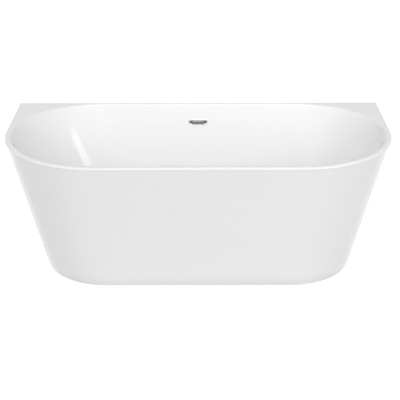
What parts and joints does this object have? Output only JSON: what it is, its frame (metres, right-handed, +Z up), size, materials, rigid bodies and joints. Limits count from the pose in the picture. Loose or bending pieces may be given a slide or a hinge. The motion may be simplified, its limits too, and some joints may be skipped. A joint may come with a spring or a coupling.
{
  "type": "freestanding bathtub",
  "caption": "Back-to-wall freestanding bathtub with rounded front corners, slim rim, square rear deck corners, slot overflow, click waste and levelling feet.",
  "frame": {"origin": "on the floor, under the middle of the tub's length and depth", "axes": "+X along the wall, +Y towards the wall, +Z up"},
  "size_m": [1.7, 0.8, 0.6],
  "materials": {
    "acrylic": "high gloss sanitary acrylic",
    "glass_fibre": "sprayed glass-fibre resin, rough",
    "plywood": "raw plywood",
    "chipboard": "raw chipboard",
    "galvanised_steel": "zinc-plated tube",
    "plated_steel": "bright zinc",
    "black_plastic": "moulded, satin",
    "rubber": "matt",
    "chrome": "polished chrome plate",
    "dark_chrome": "satin chrome plate",
    "white_plastic": "moulded polypropylene, satin",
    "hose_plastic": "corrugated, satin"
  },
  "bodies": {
    "tub": {"basin_shell": "acrylic", "basin_laminate": "glass_fibre", "outer_skirt": "acrylic", "deck_gusset_left": "plywood", "deck_gusset_right": "plywood", "base_board": "chipboard", "frame_rail_front": "galvanised_steel", "frame_rail_rear": "galvanised_steel", "frame_crossbars": "galvanised_steel", "rail_end_caps": "black_plastic", "frame_screws": "plated_steel", "skirt_brackets": "galvanised_steel", "bracket_screws": "plated_steel", "weld_nuts": "plated_steel", "foot_locknuts": "plated_steel", "waste_flange": "chrome", "flange_gasket": "rubber", "waste_gasket": "rubber", "waste_body": "white_plastic", "click_cartridge": "black_plastic", "plug_spring": "plated_steel", "trap_nut": "white_plastic", "trap_body": "white_plastic", "trap_dip_tube": "white_plastic", "trap_cap": "white_plastic", "outlet_nut": "white_plastic", "outlet_elbow": "white_plastic", "outlet_pipe": "white_plastic", "overflow_trim": "chrome", "overflow_cover": "dark_chrome", "overflow_gasket": "rubber", "overflow_housing": "white_plastic", "overflow_screws": "plated_steel", "overflow_hose": "hose_plastic", "hose_nut_top": "white_plastic", "hose_nut_bottom": "white_plastic"},
    "plug": {"plug_cap": "chrome", "plug_seal": "rubber", "plug_stem": "plated_steel"},
    "foot_1": {"foot_pad_1": "black_plastic", "foot_sole_1": "rubber"},
    "spindle_1": {"foot_spindle_1": "plated_steel"},
    "foot_2": {"foot_pad_2": "black_plastic", "foot_sole_2": "rubber"},
    "spindle_2": {"foot_spindle_2": "plated_steel"},
    "foot_3": {"foot_pad_3": "black_plastic", "foot_sole_3": "rubber"},
    "spindle_3": {"foot_spindle_3": "plated_steel"},
    "foot_4": {"foot_pad_4": "black_plastic", "foot_sole_4": "rubber"},
    "spindle_4": {"foot_spindle_4": "plated_steel"},
    "foot_5": {"foot_pad_5": "black_plastic", "foot_sole_5": "rubber"},
    "spindle_5": {"foot_spindle_5": "plated_steel"}
  },
  "joints": [
    {"name": "plug_lift", "type": "slide", "parent": "tub", "child": "plug", "axis": [0, 0, 1], "range_m": [0, 0.009], "deforming": ["plug_spring"]},
    {"name": "foot_1_level", "type": "slide", "parent": "tub", "child": "foot_1", "axis": [0, 0, -1], "range_m": [-0.003, 0.02]},
    {"name": "foot_1_turn", "type": "hinge", "parent": "foot_1", "child": "spindle_1", "pos_m": [-0.53, -0.165, 0.05], "axis": [0, 0, -1], "range_deg": [-619, 4116]},
    {"name": "foot_2_level", "type": "slide", "parent": "tub", "child": "foot_2", "axis": [0, 0, -1], "range_m": [-0.003, 0.02]},
    {"name": "foot_2_turn", "type": "hinge", "parent": "foot_2", "child": "spindle_2", "pos_m": [0.53, -0.165, 0.05], "axis": [0, 0, -1], "range_deg": [-619, 4116]},
    {"name": "foot_3_level", "type": "slide", "parent": "tub", "child": "foot_3", "axis": [0, 0, -1], "range_m": [-0.003, 0.02]},
    {"name": "foot_3_turn", "type": "hinge", "parent": "foot_3", "child": "spindle_3", "pos_m": [-0.53, 0.165, 0.05], "axis": [0, 0, -1], "range_deg": [-619, 4116]},
    {"name": "foot_4_level", "type": "slide", "parent": "tub", "child": "foot_4", "axis": [0, 0, -1], "range_m": [-0.003, 0.02]},
    {"name": "foot_4_turn", "type": "hinge", "parent": "foot_4", "child": "spindle_4", "pos_m": [0.53, 0.165, 0.05], "axis": [0, 0, -1], "range_deg": [-619, 4116]},
    {"name": "foot_5_level", "type": "slide", "parent": "tub", "child": "foot_5", "axis": [0, 0, -1], "range_m": [-0.003, 0.02]},
    {"name": "foot_5_turn", "type": "hinge", "parent": "foot_5", "child": "spindle_5", "pos_m": [0, -0.165, 0.05], "axis": [0, 0, -1], "range_deg": [-619, 4116]}
  ],
  "couplings": [
    {"joint": "foot_1_turn", "follows": "foot_1_level", "rad_per_m": 3590.4},
    {"joint": "foot_2_turn", "follows": "foot_2_level", "rad_per_m": 3590.4},
    {"joint": "foot_3_turn", "follows": "foot_3_level", "rad_per_m": 3590.4},
    {"joint": "foot_4_turn", "follows": "foot_4_level", "rad_per_m": 3590.4},
    {"joint": "foot_5_turn", "follows": "foot_5_level", "rad_per_m": 3590.4}
  ]
}
